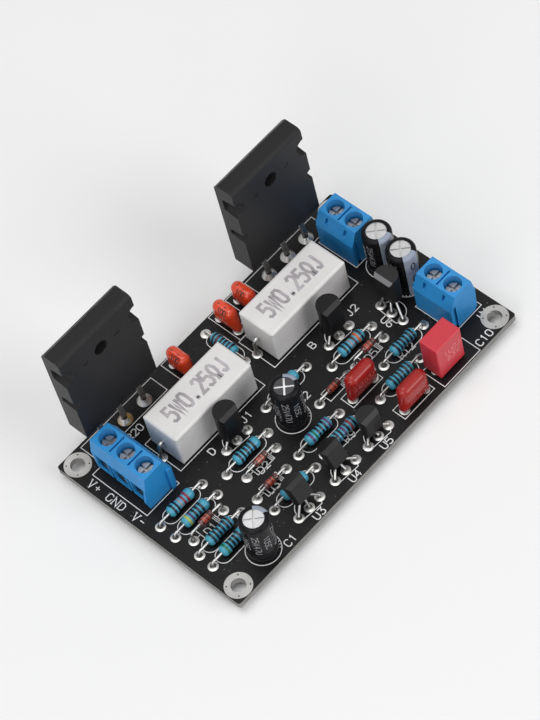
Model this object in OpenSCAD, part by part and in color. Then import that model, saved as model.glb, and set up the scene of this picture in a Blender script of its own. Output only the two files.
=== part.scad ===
// Audio amplifier board: a single-channel power amplifier on one circuit board.
// The origin is the centre of the four mounting holes, on the underside of the board.
// X runs along the board, Y from the front edge to the power transistors, Z up.
// Places on the board are given from the board's centre.

/* [Board] */
// Length of the board
board_l = 82; // [80:0.5:100]
// Width of the board
board_w = 50; // [49:0.5:64]
// Thickness of the board
board_t = 1.6; // [1:0.1:2.4]
// Radius of the board's corners
corner_r = 0.6; // [0.2:0.1:2]
// Diameter of a mounting hole
mount_hole_d = 3.2; // [2.6:0.1:3.6]
// From a mounting hole's centre to the two nearest edges
mount_inset = 3; // [2.6:0.1:3.4]

/* [Solder and leads] */
// Diameter of a small pad
pad_d = 2.2; // [1.8:0.1:2.4]
// Diameter of a power transistor's pad
power_pad_d = 3.2; // [2.6:0.1:4]
// Diameter of the small leads
lead_d = 0.55; // [0.4:0.05:0.65]
// How far the trimmed leads stand below the board
tail_l = 1.9; // [1.4:0.1:3]
// Height of the solder on top of the board
solder_top_h = 0.25; // [0.2:0.05:0.4]
// Height of the solder around a power transistor's leg
power_solder_h = 1; // [0.6:0.1:1.4]
// Height of the solder cone under the board
solder_cone_h = 1.1; // [0.6:0.1:1.3]
// Wall of solder between a lead and its plated hole
solder_wall = 0.25; // [0.15:0.05:0.35]
// Gap between pieces that pass through one another
fit_gap = 0.03; // [0.02:0.01:0.05]

/* [Terminal blocks] */
// Distance between two poles
pole_pitch = 5; // [4.8:0.1:5.4]
// Height of a housing
block_h = 10; // [9.6:0.1:12]
// From the screw axis to the furthest line of the end wall
block_front = 4; // [3.8:0.1:4.6]
// From the screw axis to the foot of the end wall
foot_front = 3.4; // [3.2:0.1:3.8]
// From the screw axis to the back face
block_back = 4; // [3.8:0.1:5]
// From the screw axis to the front edge of the top
top_front = 2.6; // [2.3:0.1:3.2]
// From the screw axis to the back edge of the top
top_back = 2.4; // [2.3:0.1:3.2]
// Height of the furthest line of the end wall
front_shoulder_z = 3; // [2.6:0.1:4]
// Height of the shoulder on the back
back_shoulder_z = 6.4; // [6:0.1:7]
// Floor under the contacts
block_floor = 0.8; // [0.6:0.1:1]
// Wall between two poles
pole_wall = 1.2; // [1:0.1:1.5]
// Thickness of the end wall that stands out beside the wire entries
end_wall = 0.55; // [0.4:0.05:0.6]
// Width of a wire entry
entry_w = 3.4; // [3:0.1:3.6]
// Height of the upper edge of a wire entry
entry_top = 6.4; // [6:0.1:6.6]
// Height of the sill under a wire entry
entry_sill = 1.3; // [1:0.1:1.4]
// From the screw axis to the front of the lip under a wire entry
lip_front = 3.1; // [3:0.05:3.2]
// Heights of the lower edge and the upper edge of the lip
lip_z = [0.8, 1.6]; // [0.6:0.1:2]
// From the screw axis to the foot under the lip
lip_foot = 2.6; // [2.4:0.1:2.8]
// Width and depth of the gaps between the wire entries
entry_gap = [0.7, 0.7]; // [0.4:0.1:0.8]
// Diameter of a screw well
well_d = 3.8; // [3.6:0.1:4]
// Width, depth and length of the grooves between the screws
groove = [0.4, 0.7, 4.2]; // [0.3:0.1:4.4]
// Width and height of the slot behind each screw
probe_slot = [0.75, 1.8]; // [0.4:0.05:2]
// Depth of the slot behind each screw, measured at the top edge
probe_depth = 0.2; // [0.05:0.05:0.3]
// Width and depth of the dovetail that joins blocks side by side
dovetail = [1.1, 0.5]; // [0.4:0.1:1.4]
// From the back face to the middle of the dovetail
dovetail_inset = 1.1; // [0.9:0.1:1.4]
// Height of the dovetail
dovetail_h = 7; // [6:0.1:7.2]
// Screw axis of the power terminal from the left end
power_inset = 8.2; // [7.6:0.1:9]
// Middle of the power terminal from the board's middle line
power_y = 10.7; // [10.5:0.1:11]
// Screw axis of the output and input terminals from the right end
signal_inset = 6.4; // [5.6:0.1:6.8]
// Middle of the output terminal from the board's middle line
output_y = 13.5; // [13.3:0.1:14]
// Middle of the input terminal from the board's middle line
input_y = -12.75; // [-13:0.05:-12.4]

/* [Clamps] */
// Thickness of the contact strip
strip_t = 0.6; // [0.5:0.05:0.7]
// Clear height inside a contact, from its bottom strip to its bridge
contact_gap = 3.1; // [3:0.1:3.4]
// From the screw axis to the back of a contact
contact_back = 1.9; // [1.85:0.05:2.1]
// From the screw axis to the front edge of a contact's bottom strip
contact_front = 2.4; // [2:0.1:2.6]
// From the screw axis to the front edge of a contact's bridge
bridge_front = 1.7; // [1.5:0.05:1.8]
// Diameter of a contact pin
pin_d = 1; // [0.8:0.1:1.2]
// Thickness of a wire guard
guard_t = 0.5; // [0.4:0.05:0.6]
// From the screw axis to the front of a wire guard
guard_front = 2.6; // [2.5:0.05:2.65]
// Height of a wire guard's upturned front lip
guard_lip = 0.7; // [0.4:0.1:0.8]
// Gap above an open wire guard
guard_rest = 0.2; // [0.1:0.05:0.3]
// Gap at the sides and back of a wire guard
guard_gap = 0.1; // [0.08:0.01:0.15]
// Thread diameter of a clamp screw
screw_d = 2.5; // [2:0.1:2.6]
// Diameter and height of a clamp screw's head
screw_head = [3.2, 1]; // [0.9:0.1:3.4]
// Depth of an open clamp screw's head below the top
screw_sink = 1.9; // [1.2:0.1:2]
// Width and depth of the cross slot in a screw
screw_slot = [0.5, 0.6]; // [0.4:0.05:0.8]
// Diameter of the screw's tip that is held in the wire guard
tip_d = 1.4; // [1.2:0.1:1.7]
// Radial running clearance of the screws
run_gap = 0.05; // [0.03:0.01:0.08]

/* [Power transistors] */
// Width, thickness and height of a case
power_case = [20, 5, 26]; // [4.8:0.1:28]
// Places of the two transistors along the board
power_x = [-24.6, 24]; // [-26:0.1:26]
// How far the backs stand out past the rear edge
power_overhang = 0.3; // [0.1:0.1:0.8]
// Height of a case above the board
power_rise = 7.8; // [7:0.1:12]
// Pitch of the legs
power_pitch = 5.6; // [5.4:0.05:5.8]
// Width and thickness of a leg
power_leg = [1.1, 0.6]; // [0.5:0.05:1.3]
// Width and length of a leg's shoulder under the case
power_shoulder = [2.2, 2]; // [1.5:0.1:2.6]
// Length of a leg inside the case
power_root = 2; // [1:0.1:3]
// From the back of a case to the middle of its legs
power_leg_back = 2.8; // [2.6:0.1:3.2]
// From the rear edge of the board to the row of pads
power_pad_inset = 3.4; // [3:0.1:3.8]
// Diameter of the screw hole through a case
power_hole_d = 3.3; // [3:0.1:3.6]
// From the top of a case to the screw hole
power_hole_drop = 5.7; // [5:0.1:6.5]
// Thickness of the plain layer at the back of a case
power_base_t = 1.5; // [1:0.1:2]
// Radius of the upper side notch at its back and at the front
clip_notch_r = [1.6, 2.3]; // [1:0.1:2.4]
// Radius of the lower side notch at its back and at the front
step_notch_r = [0.8, 1.3]; // [0.5:0.1:1.6]
// From the top of a case to the lower side notch
step_notch_drop = 14.8; // [13:0.1:16]
// Chamfer along the rear top edge of a case
power_top_chamfer = 1; // [0.6:0.1:1.4]
// Rounding along the front top edge of a case
power_round = 1; // [0.6:0.1:1.4]
// Width, thickness and height of the heat plate in the back
heat_plate = [17, 1.5, 19]; // [1:0.1:20]
// From the top of a case to the heat plate
heat_plate_drop = 2.4; // [2:0.1:3]
// Diameter, depth and side distance of the ejector marks
ejector = [1.6, 0.1, 4.3]; // [0.1:0.1:5]

/* [Ceramic resistors] */
// Width and height of a ceramic case
ceramic_side = [9.3, 9.3]; // [8:0.1:9.8]
// Radius of a ceramic case's edges
ceramic_r = 0.6; // [0.3:0.1:1]
// From the end of a case to its pad
ceramic_reach = 1.4; // [1.35:0.05:1.8]
// From the power terminal to the left resistor's pad
ceramic_left_gap = 2.35; // [2:0.05:3]
// Between the inner pads of the two resistors
ceramic_middle_gap = 4.45; // [4:0.05:5]
// From the right resistor's pad to the output terminal
ceramic_right_gap = 3; // [2:0.05:4]
// Height of the leads at the ends of a case
ceramic_lead_z = 4.6; // [3:0.1:6]
// Diameter of the leads
ceramic_lead_d = 0.8; // [0.6:0.05:0.9]
// Radius of the bend in a lead
ceramic_bend_r = 0.9; // [0.7:0.05:1]
// Middle lines of the left and right resistors from the board's middle line
ceramic_y = [9.4, 10.6]; // [9:0.1:11]

/* [Film resistors] */
// Length of a body
film_l = 6.5; // [5.6:0.1:7.5]
// Diameter at the end caps and at the waist
film_d = [2.5, 2.1]; // [1.8:0.1:2.6]
// Length of an end cap
film_cap_l = 1.7; // [1.4:0.1:2]
// Length of the taper from an end cap to the waist
film_taper_l = 0.5; // [0.3:0.1:0.7]
// Gap between a body and the board
film_gap = 0.1; // [0.1:0.05:0.5]
// Pitch of the pads
film_pitch = 12; // [11.5:0.1:12.3]
// Pitch of the pads of the resistor that lies across the board
cross_pitch = 11; // [10.8:0.1:11.2]
// Radius of the bend in an axial lead
bend_r = 0.7; // [0.5:0.05:0.8]
// Middle of film resistor 1
film_1_at = [-32, -1.1]; // [-33:0.1:33]
// Middle of film resistor 2
film_2_at = [-31.9, -5.1]; // [-33:0.1:33]
// Middle of film resistor 3
film_3_at = [-31.9, -11.6]; // [-33:0.1:33]
// Middle of film resistor 4
film_4_at = [-32, -15.3]; // [-33:0.1:33]
// Middle of film resistor 5
film_5_at = [-15.5, -3.6]; // [-33:0.1:33]
// Middle of film resistor 6
film_6_at = [-15.6, -16.5]; // [-33:0.1:33]
// Middle of film resistor 7
film_7_at = [0.5, 0.6]; // [-33:0.1:33]
// Middle of film resistor 8
film_8_at = [-3.6, -12]; // [-33:0.1:33]
// Middle of film resistor 9
film_9_at = [-0.4, -15.9]; // [-33:0.1:33]
// Middle of film resistor 10
film_10_at = [15.6, -3.6]; // [-33:0.1:33]
// Middle of film resistor 11
film_11_at = [22, -11.8]; // [-33:0.1:33]
// Middle of film resistor 12
film_12_at = [15.7, -16.4]; // [-33:0.1:33]
// Middle of film resistor 13, which lies across the board
film_13_at = [0, 16.9]; // [-33:0.1:33]

/* [Diodes] */
// Length and diameter of a glass body
diode = [3.5, 1.5]; // [1.4:0.1:4.4]
// Gap between each body and the board
diode_gap = [2.3, 0.9, 0.4, 1.9, 0.4]; // [0.2:0.1:2.6]
// Pitch of the pads
diode_pitch = 8.5; // [8:0.1:8.8]
// Middle of diode 1
diode_1_at = [-32, -8.5]; // [-33:0.1:33]
// Middle of diode 2
diode_2_at = [-15.3, -7.2]; // [-33:0.1:33]
// Middle of diode 3
diode_3_at = [-17.6, -12.1]; // [-33:0.1:33]
// Middle of diode 4
diode_4_at = [16.7, -7.4]; // [-33:0.1:33]
// Middle of diode 5
diode_5_at = [5.9, -7.4]; // [-33:0.1:33]

/* [Small transistors] */
// Width and depth of a driver transistor
driver_case = [5, 4]; // [3.8:0.1:5.4]
// Height of each driver transistor's case
driver_h = [8, 8, 6.8]; // [4.6:0.1:9]
// Width, depth and height of a signal transistor
signal_case = [4.6, 3.6, 4.6]; // [3.4:0.1:5]
// Chamfer on the top edge of the flat face
flat_chamfer = 0.8; // [0.3:0.1:1]
// From the flat face to the row of leads
flat_to_leads = 1.4; // [1.2:0.1:1.6]
// Pitch of the leads at a case
case_lead_pitch = 1.27; // [1.2:0.01:1.4]
// Pitch of the pads of a small transistor
spread_pitch = 3; // [2.8:0.05:3.1]
// Straight length of a lead under a case
lead_stub = 0.5; // [0.45:0.05:0.7]
// Height above the board where a lead bends to its pad
lead_elbow = 0.75; // [0.75:0.05:0.85]
// Middle of the pads of driver transistor 1
driver_1_at = [-14.5, 0.2]; // [-30:0.05:30]
// Middle of the pads of driver transistor 2
driver_2_at = [16, 0.2]; // [-30:0.05:30]
// Middle of the pads of driver transistor 3
driver_3_at = [26.4, -4.8]; // [-30:0.05:30]
// Direction that the row of each driver's pads runs in
driver_turn = [0, 0, -90]; // [-90:90]
// Height of each driver's case above the board
driver_rise = [2.6, 2.6, 3.6]; // [2.2:0.1:4.5]
// Set-back of each driver's leads from its pads
driver_setback = [0.8, 1, 1.6]; // [0:0.1:2]
// Shift of each driver's leads along the row of its pads
driver_shift = [0, 0, -1.4]; // [-2:0.1:2]
// Middle of the pads of signal transistor 1
signal_1_at = [-17, -21.5]; // [-30:0.05:30]
// Middle of the pads of signal transistor 2
signal_2_at = [-6.5, -21.6]; // [-30:0.05:30]
// Middle of the pads of signal transistor 3
signal_3_at = [3.2, -21.6]; // [-30:0.05:30]
// How far each signal transistor leans back, in degrees
signal_lean = [30, 28, 8]; // [0:1:32]
// Height of each signal transistor's leads above the board
signal_rise = [3.1, 1.9, 1.6]; // [1.6:0.05:4]
// Set-back of each signal transistor's leads from its pads
signal_setback = [1.1, 1.6, 1.5]; // [0:0.1:1.8]

/* [Capacitors] */
// Outer diameter and height of an electrolytic capacitor
can = [6.3, 12]; // [6:0.1:14]
// Thickness of the sleeve
sleeve_t = 0.15; // [0.1:0.05:0.25]
// How far the sleeve's lip covers the flat top
sleeve_lip = 0.25; // [0.1:0.05:0.5]
// Rounding of the can's top edge
can_round = 0.6; // [0.3:0.1:0.9]
// Height and depth of the crimp around the can
crimp = [2.4, 0.3]; // [0.2:0.1:3]
// Diameter and height of the rubber seal
seal = [4.6, 1.6]; // [1.2:0.1:4.8]
// Depth of the seal inside the can's rim
seal_recess = 0.5; // [0.45:0.05:0.8]
// Length, width and depth of the vent cross
vent = [4, 0.4, 0.3]; // [0.2:0.1:5]
// Pitch of an electrolytic capacitor's leads
can_pitch = 2.5; // [2.4:0.1:2.8]
// Middle of electrolytic capacitor 1
can_1_at = [-29.2, -20.5]; // [-36:0.1:36]
// Middle of electrolytic capacitor 2
can_2_at = [-3.9, -5.3]; // [-36:0.1:36]
// Middle of electrolytic capacitor 3
can_3_at = [34.3, 4.4]; // [-36:0.1:36]
// Middle of electrolytic capacitor 4
can_4_at = [33.9, -2.4]; // [-36:0.1:36]
// Thickness, width and height of a dipped capacitor
dipped = [2.9, 5.8, 6]; // [2.4:0.1:7]
// Pitch of a dipped capacitor's leads
dipped_pitch = 5; // [4.6:0.1:5.2]
// Middle of dipped capacitor 1
dipped_1_at = [-9.2, 20.1]; // [-36:0.1:36]
// Middle of dipped capacitor 2
dipped_2_at = [4.6, 20.1]; // [-36:0.1:36]
// Middle of dipped capacitor 3
dipped_3_at = [10.1, 20.1]; // [-36:0.1:36]
// Width, thickness and height of a film capacitor
foil = [7.4, 3.2, 6.8]; // [2.6:0.1:8]
// Pitch of a film capacitor's leads
foil_pitch = 6; // [5.6:0.1:6.2]
// Middle of film capacitor 1
foil_1_at = [9.5, -12]; // [-36:0.1:36]
// Middle of film capacitor 2
foil_2_at = [13.75, -21.9]; // [-36:0.05:36]
// Height of the dipped and film capacitors above the board
coat_rise = 0.8; // [0.6:0.1:1.2]
// Radius of the coating around a lead
coat_r = 1; // [0.6:0.05:1.1]
// Length, width and height of the box capacitor
box_cap = [7.2, 4.7, 9.5]; // [4.4:0.1:11]
// Radius of the box capacitor's edges
box_r = 0.35; // [0.2:0.05:0.6]
// Side and height of the box capacitor's feet
box_foot = [0.7, 0.5]; // [0.45:0.05:0.9]
// Pitch of the box capacitor's leads
box_pitch = 5; // [4.8:0.1:5.2]
// Middle of the box capacitor
box_at = [24, -20.9]; // [-36:0.1:36]

/* [Hidden] */
$fn = 48;
hull_fn = 24;
// Cutting tools reach this far past what they cut
past = 1;
// Largest size of a cutting block
big = 40;
end_x = board_l / 2;
rear_y = board_w / 2;
top_z = board_t;
lead_r = lead_d / 2;
pad_r = pad_d / 2;
// Bent leads swell a little at an elbow
elbow_swell = 1.12;
elbow_d = elbow_swell * lead_d;

// Terminal blocks: name, place, turn and number of poles
blocks = [
    ["power", [-end_x + power_inset, power_y], 0, 3],
    ["output", [end_x - signal_inset, output_y], 180, 2],
    ["input", [end_x - signal_inset, input_y], 180, 2]
];
cavity_w = pole_pitch - pole_wall;
entry_front = top_front + (block_front - top_front) * (block_h - entry_top) / (block_h - front_shoulder_z);
lip_profile = [
    [-lip_foot, 0], [-lip_foot, lip_z[0] / 2], [-lip_front, lip_z[0]], [-lip_front, lip_z[1]],
    [-entry_front, entry_top]
];
end_profile = [[-foot_front, 0], [-block_front, front_shoulder_z]];
bridge_z = block_floor + strip_t + contact_gap;
ceiling_z = bridge_z + strip_t + fit_gap;
guard_z = bridge_z - guard_rest - guard_t;
head_z = block_h - screw_sink - screw_head[1];
dovetail_neck = 0.6;

// The ceramic resistors share the room between the power terminal and the output terminal
ceramic_start = -end_x + power_inset + block_back + ceramic_left_gap;
ceramic_end = end_x - signal_inset - block_back - ceramic_right_gap;
ceramic_pitch = (ceramic_end - ceramic_start - ceramic_middle_gap) / 2;
ceramic = [ceramic_pitch - 2 * ceramic_reach, ceramic_side[0], ceramic_side[1]];
ceramic_at = [
    [ceramic_start + ceramic_pitch / 2, ceramic_y[0]],
    [ceramic_end - ceramic_pitch / 2, ceramic_y[1]]
];

// Places of the repeated parts
film_at = [film_1_at, film_2_at, film_3_at, film_4_at, film_5_at, film_6_at, film_7_at,
    film_8_at, film_9_at, film_10_at, film_11_at, film_12_at, film_13_at];
film_last = len(film_at);
diode_at = [diode_1_at, diode_2_at, diode_3_at, diode_4_at, diode_5_at];
driver_at = [driver_1_at, driver_2_at, driver_3_at];
signal_at = [signal_1_at, signal_2_at, signal_3_at];
can_at = [can_1_at, can_2_at, can_3_at, can_4_at];
dipped_at = [dipped_1_at, dipped_2_at, dipped_3_at];
foil_at = [foil_1_at, foil_2_at];
sides = ["left", "right"];

// Share of a diode's end that is flat, and of its half length that is rounded
diode_flat = 0.6;
diode_round = 0.25;

// Heights of the axial parts, and the bodies of the electrolytic capacitors
film_z = top_z + film_gap + film_d[0] / 2;
power_back = rear_y + power_overhang;
power_pad_y = rear_y - power_pad_inset;
power_leg_y = power_back - power_leg_back;
sleeve_inner_r = can[0] / 2 - sleeve_t;
can_r = sleeve_inner_r - fit_gap;
can_h = can[1] - sleeve_t - fit_gap;

// A turn of a place about the origin
function turned(p, a) = [p[0] * cos(a) - p[1] * sin(a), p[0] * sin(a) + p[1] * cos(a)];
// Two pads of a part that runs in direction a
function pad_pair(at, pitch, a = 0) = [for (s = [-1, 1]) at + turned([s * pitch / 2, 0], a)];
// Three pads in a row
function pad_row(at, pitch, a = 0) = [for (i = [-1:1]) at + turned([i * pitch, 0], a)];
// Height of a diode's middle line
function diode_z(i) = top_z + diode_gap[i] + diode[1] / 2;
function film_pads(i) = i == film_last - 1
    ? pad_pair(film_at[i], cross_pitch, 90)
    : pad_pair(film_at[i], film_pitch);
// Place of a terminal's pole
function pole_at(b, i) = b[1] + turned([0, (i - (b[3] - 1) / 2) * pole_pitch], b[2]);

// Every plated hole: place, lead radius, pad radius and height of the solder on top
function holes_at(pads, lead, pad, h = solder_top_h) = [for (p = pads) [p, lead, pad, h]];
plated_holes = concat(
    holes_at([for (i = [0:film_last - 1]) each film_pads(i)], lead_r, pad_r),
    holes_at([for (p = diode_at) each pad_pair(p, diode_pitch)], lead_r, pad_r),
    holes_at([for (i = [0:2]) each pad_row(driver_at[i], spread_pitch, driver_turn[i])], lead_r, pad_r),
    holes_at([for (p = signal_at) each pad_row(p, spread_pitch)], lead_r, pad_r),
    holes_at([for (p = can_at) each pad_pair(p, can_pitch)], lead_r, pad_r),
    holes_at([for (p = dipped_at) each pad_pair(p, dipped_pitch, 90)], lead_r, pad_r),
    holes_at([for (p = foil_at) each pad_pair(p, foil_pitch)], lead_r, pad_r),
    holes_at(pad_pair(box_at, box_pitch), lead_r, pad_r),
    holes_at([for (p = ceramic_at) each pad_pair(p, ceramic_pitch)], ceramic_lead_d / 2, pad_r),
    holes_at([for (b = blocks) for (i = [0:b[3] - 1]) pole_at(b, i)], pin_d / 2, pad_r),
    holes_at([for (x = power_x) each pad_row([x, power_pad_y], power_pitch)],
        norm(power_leg) / 2, power_pad_d / 2, power_solder_h)
);
function bore_r(hole) = hole[1] + fit_gap;
function barrel_r(hole) = bore_r(hole) + solder_wall;

// Rectangle with rounded corners, centred
module rounded_rectangle(l, w, r) {
    square([l - 2 * r, w], center = true);
    square([l, w - 2 * r], center = true);
    for (x = [-1, 1], y = [-1, 1])
        translate([x * (l / 2 - r), y * (w / 2 - r)])
            circle(r);
}

// Block with rounded edges, standing on z = 0
module rounded_block(size, r) {
    translate([0, 0, size[2] / 2])
        intersection() {
            linear_extrude(size[2], center = true)
                rounded_rectangle(size[0], size[1], r);
            rotate([90, 0, 0])
                linear_extrude(size[1], center = true)
                    rounded_rectangle(size[0], size[2], r);
            rotate([90, 0, 90])
                linear_extrude(size[0], center = true)
                    rounded_rectangle(size[1], size[2], r);
        }
}

// Round bar from point a to point b
module rod(a, b, d) {
    v = b - a;
    translate(a)
        rotate([0, acos(v[2] / norm(v)), atan2(v[1], v[0])])
            cylinder(d = d, h = norm(v));
}

// Lead that leaves a body at its end, bends down and goes through the board
module axial_lead(half_body, half_pitch, z, d, r) {
    translate([half_body, 0, z])
        rotate([0, 90, 0])
            cylinder(d = d, h = half_pitch - r - half_body);
    translate([half_pitch - r, 0, z - r])
        rotate([90, 0, 0])
            rotate_extrude(angle = 90)
                translate([r, 0])
                    circle(d = d);
    translate([half_pitch, 0, -tail_l])
        cylinder(d = d, h = z - r + tail_l);
}

// Both leads of an axial part
module axial_leads(l, pitch, z, d, r) {
    axial_lead(l / 2, pitch / 2, z, d, r);
    rotate(180)
        axial_lead(l / 2, pitch / 2, z, d, r);
}

// Straight lead from the underside of a body through the board
module straight_lead(at, z) {
    translate([at[0], at[1], -tail_l])
        cylinder(d = lead_d, h = z + tail_l);
}

module circuit_board() {
    color("#16171a")
        linear_extrude(board_t)
            difference() {
                rounded_rectangle(board_l, board_w, corner_r);
                for (x = [-1, 1], y = [-1, 1])
                    translate([x * (end_x - mount_inset), y * (rear_y - mount_inset)])
                        circle(d = mount_hole_d);
                for (hole = plated_holes)
                    translate(hole[0])
                        circle(barrel_r(hole) + fit_gap);
            }
}

// One solder joint: a fillet on the top pad, the filled hole and a cone on the bottom pad
module solder_joint(hole) {
    bore = bore_r(hole);
    barrel = barrel_r(hole);
    crest = bore + solder_wall / 2;
    pad = hole[2];
    foot = 0.08;
    rotate_extrude()
        polygon([
            [bore, -solder_cone_h], [crest, -solder_cone_h], [pad, -foot], [pad, 0], [barrel, 0],
            [barrel, board_t], [pad, board_t], [pad, board_t + foot],
            [crest, board_t + hole[3]], [bore, board_t + hole[3]]
        ]);
}

module solder_joints() {
    color("silver")
        for (hole = plated_holes)
            translate(hole[0])
                solder_joint(hole);
}

// Outline of a terminal housing seen from its end, wire face to the left, with the given lower front
module housing_outline(lower_front) {
    polygon(concat(lower_front, [
        [-top_front, block_h], [top_back, block_h], [block_back, back_shoulder_z], [block_back, 0]
    ]));
}

// Dovetail seen from above, narrow at the block's end wall
module dovetail_outline(gap) {
    neck = dovetail_neck * dovetail[0] / 2 + gap;
    tip = dovetail[0] / 2 + gap;
    polygon([[-neck, 0], [neck, 0], [tip, -dovetail[1]], [-tip, -dovetail[1]]]);
}

// Space for the contact, the wire guard, the screw and the wire of one pole
module pole_space() {
    inner_front = guard_front + guard_gap;
    translate([-inner_front, -cavity_w / 2, block_floor])
        cube([inner_front + contact_back + fit_gap, cavity_w, ceiling_z - block_floor]);
    translate([0, 0, bridge_z])
        cylinder(d = well_d, h = block_h);
    translate([-block_front, 0, 0])
        rotate([90, 0, 90])
            linear_extrude(block_front - inner_front + fit_gap) {
                translate([0, entry_sill + entry_w / 2])
                    circle(d = entry_w);
                translate([-entry_w / 2, entry_sill + entry_w / 2])
                    square([entry_w, entry_top - entry_sill - entry_w / 2]);
            }
    translate([0, 0, -past])
        cylinder(d = pin_d + 2 * fit_gap, h = past + block_floor + fit_gap);
    translate([0, 0, -past])
        cylinder(r = pad_r + fit_gap, h = past + solder_top_h + fit_gap);
}

// Slot with round ends behind one screw
module probe_hole() {
    slot_z = block_h - probe_slot[0] - probe_slot[1] / 2;
    translate([top_back - probe_depth, 0, slot_z])
        rotate([90, 0, 90])
            linear_extrude(block_back) {
                square([probe_slot[0], probe_slot[1] - probe_slot[0]], center = true);
                for (s = [-1, 1])
                    translate([0, s * (probe_slot[1] - probe_slot[0]) / 2])
                        circle(d = probe_slot[0]);
            }
}

// Housing with n poles, its screws above the origin's Y axis
module housing(n) {
    l = n * pole_pitch;
    dovetail_x = block_back - dovetail_inset;
    difference() {
        union() {
            rotate([90, 0, 0])
                linear_extrude(l, center = true)
                    housing_outline(lip_profile);
            translate([0, end_wall - l / 2, 0])
                rotate([90, 0, 0])
                    linear_extrude(end_wall)
                        housing_outline(end_profile);
            translate([dovetail_x, -l / 2, 0])
                linear_extrude(dovetail_h)
                    dovetail_outline(0);
        }
        translate([dovetail_x, l / 2, -past])
            linear_extrude(past + dovetail_h + fit_gap)
                dovetail_outline(fit_gap);
        for (i = [0:n - 1])
            translate([0, (i - (n - 1) / 2) * pole_pitch, 0]) {
                pole_space();
                probe_hole();
            }
        for (i = [1:n - 1])
            translate([0, (i - n / 2) * pole_pitch, 0]) {
                translate([0, 0, block_h])
                    cube([groove[2], groove[0], 2 * groove[1]], center = true);
                translate([-block_front, -entry_gap[0] / 2, -past])
                    cube([block_front - lip_front + entry_gap[1], entry_gap[0], past + entry_top]);
            }
    }
}

module place_block(b) {
    translate([b[1][0], b[1][1], top_z])
        rotate(b[2])
            children();
}

module place_pole(b, i) {
    at = pole_at(b, i);
    translate([at[0], at[1], top_z])
        rotate(b[2])
            children();
}

module terminal_housing(b) {
    color("#1f78c8")
        place_block(b)
            housing(b[3]);
}

// Contact bent from strip: bottom, back and bridge, with a pin under it
module contact() {
    front = -contact_front;
    back = contact_back;
    difference() {
        rotate([90, 0, 0])
            linear_extrude(cavity_w - 2 * fit_gap, center = true)
                polygon([
                    [front, block_floor], [back, block_floor], [back, bridge_z + strip_t],
                    [-bridge_front, bridge_z + strip_t], [-bridge_front, bridge_z],
                    [back - strip_t, bridge_z], [back - strip_t, block_floor + strip_t],
                    [front, block_floor + strip_t]
                ]);
        translate([0, 0, bridge_z - past])
            cylinder(d = screw_d + 2 * run_gap, h = strip_t + 2 * past);
    }
    translate([0, 0, -board_t - tail_l])
        cylinder(d = pin_d, h = block_floor + board_t + tail_l);
}

module terminal_contacts() {
    color("#c9c6bd")
        for (b = blocks)
            for (i = [0:b[3] - 1])
                place_pole(b, i)
                    contact();
}

// Guard plate with an upturned front lip, pressed down by the screw
module wire_guard(b, i) {
    back = contact_back - strip_t - guard_gap;
    color("#b9bcc0")
        place_pole(b, i)
            difference() {
                rotate([90, 0, 0])
                    linear_extrude(cavity_w - 2 * guard_gap, center = true)
                        polygon([
                            [-guard_front, guard_z], [back, guard_z], [back, guard_z + guard_t],
                            [guard_t - guard_front, guard_z + guard_t],
                            [guard_t - guard_front, guard_z + guard_t + guard_lip],
                            [-guard_front, guard_z + guard_t + guard_lip]
                        ]);
                translate([0, 0, guard_z - past])
                    cylinder(d = tip_d + 2 * run_gap, h = guard_t + 2 * past);
            }
}

// Screw with a cross slot in its head and a plain tip in the guard
module clamp_screw(b, i) {
    head_top = head_z + screw_head[1];
    color("#d8d9db")
        place_pole(b, i)
            difference() {
                union() {
                    translate([0, 0, guard_z])
                        cylinder(d = tip_d, h = guard_t + past);
                    translate([0, 0, guard_z + guard_t])
                        cylinder(d = screw_d, h = head_top - guard_z - guard_t);
                    translate([0, 0, head_z])
                        cylinder(d = screw_head[0], h = screw_head[1]);
                }
                for (a = [0, 90])
                    translate([0, 0, head_top])
                        rotate(a)
                            cube([2 * screw_head[0], screw_slot[0], 2 * screw_slot[1]], center = true);
            }
}

// Quarter circle of the front rounding, about its centre, from the front to the upper edge
function front_round(p) = [for (a = [180:-15:90]) p + power_round * [cos(a), sin(a)]];

// Side outline of a power transistor's case: chamfered rear top edge, rounded front top edge
module power_side() {
    front = -power_case[1];
    top = power_case[2];
    polygon(concat(
        [[0, 0], [front, 0]],
        front_round([front + power_round, top - power_round]),
        [[-power_top_chamfer, top], [0, top - power_top_chamfer]]
    ));
}

module place_power(i) {
    translate([power_x[i], power_back, top_z + power_rise])
        children();
}

// Round hole along Y that starts at the back of a case, with a radius at each end
module along_y(x, z, r_back, r_front, l) {
    translate([x, 0, z])
        rotate([90, 0, 0])
            cylinder(r1 = r_back, r2 = r_front, h = l);
}

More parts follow.
